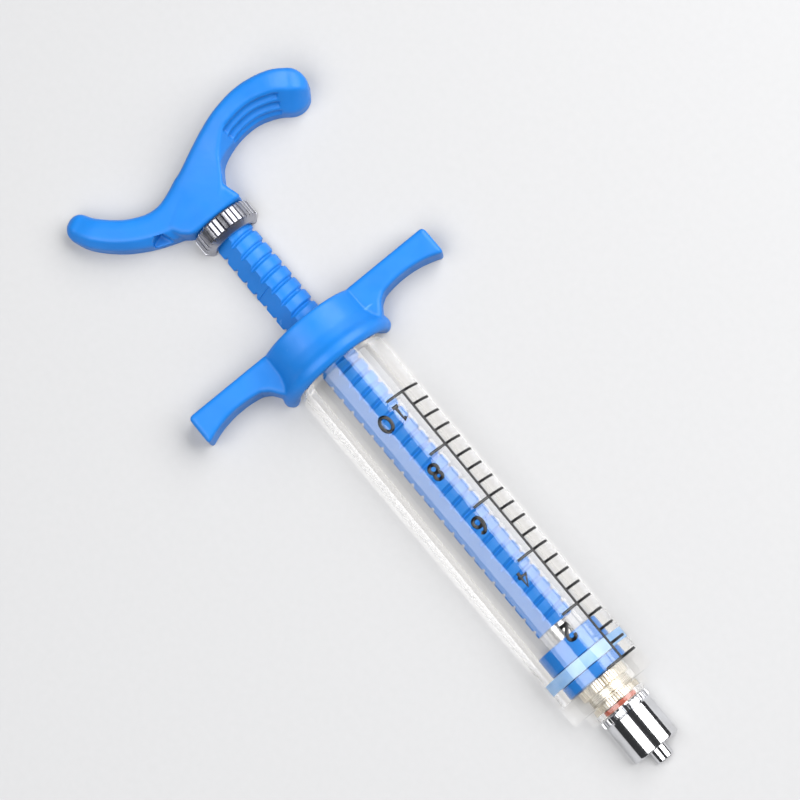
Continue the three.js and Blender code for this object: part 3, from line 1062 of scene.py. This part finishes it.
class SYRINGE_OT_piston(bpy.types.Operator):
    """Turn the piston: a disc behind the seal, the seal and a disc in front of it"""

    bl_idname = "syringe.piston"
    bl_label = "Piston"

    def execute(self, context):
        hole = CORE_R + CORE_CLEARANCE
        disc = BORE_R - 0.05
        seal = BORE_R + 0.05  # pressed a little into the bore's wall
        gap = 0.1
        rings = [
            ("piston_rear_disc", REAR_DISC_BACK, SEAL_BACK - gap, disc, "blue_nylon"),
            ("piston_seal", SEAL_BACK, FRONT_DISC_BACK - gap, seal, "silicone"),
            ("piston_front_disc", FRONT_DISC_BACK, FRONT_DISC_FACE, disc, "blue_nylon"),
        ]
        for name, start, end, radius, slot in rings:
            inner = 0.0 if name == "piston_front_disc" else hole
            front = [(end, radius, 0.3), (end, inner)]
            back = [(start, inner), (start, radius, 0.3)]
            piece = turned(name, back + front, steps=128, closed=inner > 0)
            smooth(piece)
            hand_over(piece, "plunger", slot, name)
        return {"FINISHED"}


class SYRINGE_OT_dose_nut(bpy.types.Operator):
    """Turn and knurl the dose nut on the rod"""

    bl_idname = "syringe.dose_nut"
    bl_label = "Dose Nut"

    def execute(self, context):
        sizes = context.scene.syringe_sizes
        hole = ROD_R + ROD_CLEARANCE
        rim = 6.6
        nut = turned(
            "dose_nut",
            [
                (NUT_BACK, hole + 0.3),
                (NUT_BACK, rim, 0.5),
                (NUT_FRONT - 1.2, rim, 0.1),
                (NUT_FRONT, 5.45, 0.15),
                (NUT_FRONT, hole + 0.35, 0.1),
                (NUT_FRONT - 0.35, hole),
                (NUT_BACK + 0.3, hole),
            ],
            steps=152,
            closed=True,
        )
        ribs = ribbed_rod("ribs", NUT_BACK - 1, NUT_FRONT + 1, rim + 0.02, 0.62, sizes.nut_ribs)
        carve(nut, ribs, "INTERSECT")
        tidy_mesh(nut)
        smooth(nut, 25)
        hand_over(nut, "nut", "chrome_plate", "dose_nut", finish="satin_nickel")
        return {"FINISHED"}


# Middle line of the handle from the tip of the short arm to the tip of the long one, in millimetres:
# distance across the syringe, height above the hub's face, half the thickness, half the depth.
HANDLE_LINE = [
    (-22.5, 16.4, 2.8, 4.3),
    (-21.0, 13.5, 3.0, 5.2),
    (-17.5, 9.9, 3.1, 5.5),
    (-13.9, 7.5, 3.2, 5.6),
    (-10.0, 5.9, 3.5, 5.7),
    (-5.4, 5.4, 4.4, 5.8),
    (0.35, 6.75, 5.1, 6.0),
    (5.2, 10.4, 3.5, 6.8),
    (10.0, 12.5, 3.2, 8.0),
    (14.8, 13.5, 3.3, 8.9),
    (19.4, 13.5, 3.6, 9.4),
    (24.0, 12.2, 4.0, 9.3),
    (26.8, 10.5, 4.2, 8.3),
]


class SYRINGE_OT_handle(bpy.types.Operator):
    """Loft the palm handle along its curved middle line, with its hub, grip grooves and mould pocket"""

    bl_idname = "syringe.handle"
    bl_label = "Palm Handle"

    def execute(self, context):
        line = flowing(HANDLE_LINE, 4)
        piece = self.loft(line)
        self.trim_face(piece)
        piece = join(piece, self.hub())
        fuse(piece, 0.25, 3)
        grooves = [self.groove(line, share) for share in (-0.84, -0.62, -0.4, 0.4, 0.62, 0.84)]
        carve(piece, join(*grooves))
        carve(piece, self.mould_pocket())
        fuse(piece, 0.22, 3)
        piece.name = piece.data.name = "palm_handle"
        gap = 0.15  # round each rod in its socket
        for radius, depth in ((ROD_R + gap, 3.1), (CORE_R + gap, 7.7)):
            floor, mouth = HUB_FACE - depth, HUB_FACE + 1
            socket = [(floor, 0), (floor, radius), (mouth, radius), (mouth, 0)]
            carve(piece, turned("socket", socket, steps=48))
        tidy_mesh(piece)
        smooth(piece, 40)
        hand_over(piece, "plunger", "blue_nylon", "palm_handle")
        return {"FINISHED"}

    def sections(self, line):
        """Each section's middle point, its turn about Z, and its half thickness and depth, with domed tips."""
        frames = []
        last = len(line) - 1
        for k, (y, height, thick, deep) in enumerate(line):
            before, after = line[max(k - 1, 0)], line[min(k + 1, last)]
            along = Vector((-(after[1] - before[1]), after[0] - before[0])).normalized()
            frames.append((Vector((-height, y)), along, thick, deep))
        dome = [0.98, 0.9, 0.77, 0.58, 0.34]  # the tip's size at each of its rings, as a share
        tips = []
        for (middle, along, thick, deep), way in ((frames[0], -1), (frames[-1], 1)):
            reach = 0.95 * thick
            rings = [
                (middle + way * along * reach * math.sqrt(1 - s * s), along, thick * s, deep - thick * (1 - s))
                for s in dome
            ]
            tips.append(rings)
        return tips[0][::-1] + frames + tips[1]

    def crown(self, across):
        """How far the underside is rounded: little at the neck, more on the short arm, most on the long one."""
        short_arm = min(max((-4 - across) / 4, 0), 1)
        long_arm = min(max((across - 5) / 7, 0), 1)
        return 0.05 + 0.45 * short_arm + 0.85 * long_arm

    def section(self, thick, deep, crown):
        """Outline of the handle across its middle line, flat above and crowned underneath, as (down, across)."""
        drop = 0.95 * crown * thick
        flat = deep * (1 - 0.68 * crown)
        side = thick - drop
        half = [(-thick, deep, 2.1), (side, deep, 1.1), (thick, flat, 2.0)]
        other = [(down, -across, corner) for down, across, corner in reversed(half)]
        return soften([(-thick, 0), *half, *other, (-thick, 0)])[:-1]

    def loft(self, line):
        deselect()
        bpy.ops.mesh.primitive_plane_add(size=MM)
        piece = named("palm_handle")
        settle(piece)
        edit(piece)
        bpy.ops.mesh.select_all(action="SELECT")
        bpy.ops.mesh.delete(type="VERT")
        sections = self.sections(line)
        for k, (middle, along, thick, deep) in enumerate(sections):
            outline = self.section(thick, deep, self.crown(middle.y))
            ends = k in (0, len(sections) - 1)
            bpy.ops.mesh.primitive_circle_add(
                vertices=len(outline), radius=MM, fill_type="NGON" if ends else "NOTHING"
            )
            mesh = bmesh.from_edit_mesh(piece.data)
            ring = [v for v in mesh.verts if v.select]
            inward = Vector((along.y, -along.x))
            for vertex, (down, across) in zip(ring, outline):
                spot = middle + inward * down
                vertex.co = place(HUB_FACE) + Vector((spot.x, spot.y, across)) * MM
            bmesh.update_edit_mesh(piece.data)
        bpy.ops.mesh.select_all(action="SELECT")
        bpy.ops.mesh.bridge_edge_loops()
        bpy.ops.mesh.select_all(action="SELECT")
        bpy.ops.mesh.normals_make_consistent(inside=False)
        leave_edit()
        return piece

    def trim_face(self, piece):
        """Cuts the loft off at the hub's flat face, where the dose nut backs up to it."""
        edit(piece)
        bpy.ops.mesh.select_all(action="SELECT")
        bpy.ops.mesh.bisect(plane_co=place(HUB_FACE), plane_no=(1, 0, 0), clear_outer=True, use_fill=True)
        leave_edit()

    def groove(self, line, share):
        """A round-ended groove tool along the underside of the long arm, at a share of its half depth."""
        sections = self.sections(line)
        span = sections[int(0.66 * len(sections)) : int(0.88 * len(sections))]
        points = []
        for middle, along, thick, deep in span:
            inward = Vector((along.y, -along.x))
            drop = 0.85 * thick * max(0.0, (abs(share) - 0.38) / 0.62)
            spot = middle + inward * (thick - drop + 0.25)
            points.append(place(HUB_FACE) + Vector((spot.x, spot.y, share * deep)) * MM)
        tool = draw_line("groove", points)
        pick(tool)
        bpy.ops.object.convert(target="CURVE")
        tool = bpy.context.object
        tool.data.dimensions = "3D"
        tool.data.bevel_depth = 0.85 * MM
        tool.data.bevel_resolution = 4
        tool.data.use_fill_caps = True
        bpy.ops.object.convert(target="MESH")
        tool = bpy.context.object
        tidy_mesh(tool)
        return tool

    def hub(self):
        """The foot of the handle: as deep as the arms, and as wide as the nut where the two meet."""
        outline = [(-6.2, 0), (6.2, 0), (5.2, 3.4), (4.7, 7.0), (0, 10.0), (-5, 7.0), (-9.5, 4.2), (-8.0, 1.6)]
        deep = 5.9
        corners = [place(HUB_FACE) + Vector((-height, y, -deep)) * MM for y, height in outline]
        piece = draw_line("hub", corners)
        edit(piece)
        bpy.ops.mesh.select_all(action="SELECT")
        bpy.ops.mesh.edge_face_add()
        bpy.ops.mesh.extrude_region_move(TRANSFORM_OT_translate={"value": (0, 0, 2 * deep * MM)})
        bpy.ops.mesh.select_all(action="SELECT")
        bpy.ops.mesh.normals_make_consistent(inside=False)
        leave_edit()
        apply_modifier(
            piece, "BEVEL", width=1.0 * MM, segments=4, limit_method="ANGLE", angle_limit=math.radians(40)
        )
        return piece

    def mould_pocket(self):
        """The small rectangular pocket under the short arm, next to the hub."""
        middle = place(HUB_FACE - 2.2) + Vector((0, -11.2 * MM, 3.6 * MM))
        deselect()
        bpy.ops.mesh.primitive_cube_add(size=MM, location=middle)
        piece = named("mould_pocket")
        settle(piece)
        edit(piece)
        bpy.ops.mesh.select_all(action="SELECT")
        bpy.ops.transform.resize(value=(2.8, 5.2, 3.6), center_override=middle)
        bpy.ops.transform.rotate(value=math.radians(68), orient_axis="Z", center_override=middle)
        leave_edit()
        return piece


# ---- Stage ----


class SYRINGE_OT_stage(bpy.types.Operator):
    """Set up the floor, the lights and the camera"""

    bl_idname = "syringe.stage"
    bl_label = "Stage"

    def execute(self, context):
        self.floor()
        self.light("key", angle=46.0, width=0.5, run=0.9, power=8.0)
        self.light("fill", angle=-29.0, width=0.42, run=0.8, power=4.6)
        self.surroundings(context.scene)
        self.camera(context.scene)
        return {"FINISHED"}

    def floor(self):
        deselect()
        bpy.ops.mesh.primitive_grid_add(x_subdivisions=8, y_subdivisions=8, size=4)
        floor = named("floor")
        material, tree, where = start_material("matt_board")
        grain = noise(tree, where, 1.5, 3)
        finish_material(
            tree,
            {
                "Base Color": blend_colours(tree, grain, linear("#ADADAE"), linear("#B1B1B2")),
                "Roughness": 0.9,
                "Normal": bump(tree, grain, 0.01, 0.2),
            },
        )
        floor.data.materials.append(material)

    def light(self, name, angle, width, run, power):
        """A long softbox over the syringe, at an angle from straight up towards the long arm."""
        distance = 0.6
        aim = place(0)
        out = place(0, 1, angle) - aim
        spot = aim + out.normalized() * distance + Vector((0.02, 0, 0))
        deselect()
        bpy.ops.object.light_add(type="AREA", location=spot)
        lamp = bpy.context.object
        lamp.name = name
        lamp.data.shape = "RECTANGLE"
        lamp.data.size = run
        lamp.data.size_y = width
        lamp.data.energy = power
        across = out.normalized().cross(Vector((1, 0, 0)))
        axes = Matrix((Vector((1, 0, 0)), across, out.normalized())).transposed()
        lamp.rotation_euler = axes.to_euler()
        lamp.visible_camera = False

    def surroundings(self, scene):
        world = bpy.data.worlds.new("studio")
        world.use_nodes = True
        world.node_tree.nodes["Background"].inputs["Color"].default_value = linear("#E6E8EC")
        world.node_tree.nodes["Background"].inputs["Strength"].default_value = 0.06
        scene.world = world
        scene.cycles.caustics_refractive = False  # the lamps already shine through the clear plastic
        scene.view_settings.view_transform = "Standard"
        scene.view_settings.look = "None"

    def camera(self, scene):
        """Looks down on the barrel from the side, with the nozzle at the lower right."""
        elevation, azimuth, roll = (math.radians(v) for v in (80.86, -15.74, -23.82))
        distance = 482.65
        middle_station, middle_across = -7.97, 4.68
        aim = place(middle_station) + Vector((0, middle_across * MM, 0))
        flat = math.cos(elevation)
        back = Vector((flat * math.cos(azimuth), flat * math.sin(azimuth), math.sin(elevation)))
        level = Vector((-math.sin(azimuth), math.cos(azimuth), 0))
        rise = back.cross(level)
        right = level * math.cos(roll) + rise * math.sin(roll)
        axes = Matrix((right, back.cross(right), back)).transposed()
        bpy.ops.object.camera_add(location=aim + back * distance * MM, rotation=axes.to_euler())
        camera = bpy.context.object
        camera.data.lens = 111.15
        camera.data.sensor_width = 36
        camera.data.clip_start = 0.01
        scene.camera = camera


PIECE_OPERATORS = (
    SYRINGE_OT_barrel,
    SYRINGE_OT_scale,
    SYRINGE_OT_nozzle_seat,
    SYRINGE_OT_nozzle,
    SYRINGE_OT_winged_cap,
    SYRINGE_OT_rod,
    SYRINGE_OT_piston,
    SYRINGE_OT_dose_nut,
    SYRINGE_OT_handle,
    SYRINGE_OT_stage,
)


class SYRINGE_PT_pieces(bpy.types.Panel):
    """Lists the operators, and the sizes and colours that they read"""

    bl_idname = "SYRINGE_PT_pieces"
    bl_label = "Oral Dosing Syringe"
    bl_space_type = "VIEW_3D"
    bl_region_type = "UI"
    bl_category = "Syringe"

    def draw(self, context):
        layout = self.layout
        for operator in PIECE_OPERATORS:
            layout.operator(operator.bl_idname)
        for title, group in (("Sizes", context.scene.syringe_sizes), ("Colours", context.scene.syringe_colours)):
            box = layout.box()
            box.label(text=title)
            for key in group.bl_rna.properties.keys():
                if key not in ("rna_type", "name"):
                    box.prop(group, key)


CLASSES = (SyringeSizes, SyringeColours, *PIECE_OPERATORS, SYRINGE_PT_pieces)


def register():
    for one in CLASSES:
        bpy.utils.register_class(one)
    bpy.types.Scene.syringe_sizes = bpy.props.PointerProperty(type=SyringeSizes)
    bpy.types.Scene.syringe_colours = bpy.props.PointerProperty(type=SyringeColours)


def unregister():
    del bpy.types.Scene.syringe_colours
    del bpy.types.Scene.syringe_sizes
    for one in reversed(CLASSES):
        bpy.utils.unregister_class(one)


def main():
    register()
    for operator in PIECE_OPERATORS:
        group, call = operator.bl_idname.split(".")
        getattr(getattr(bpy.ops, group), call)()


if __name__ == "__main__":
    main()
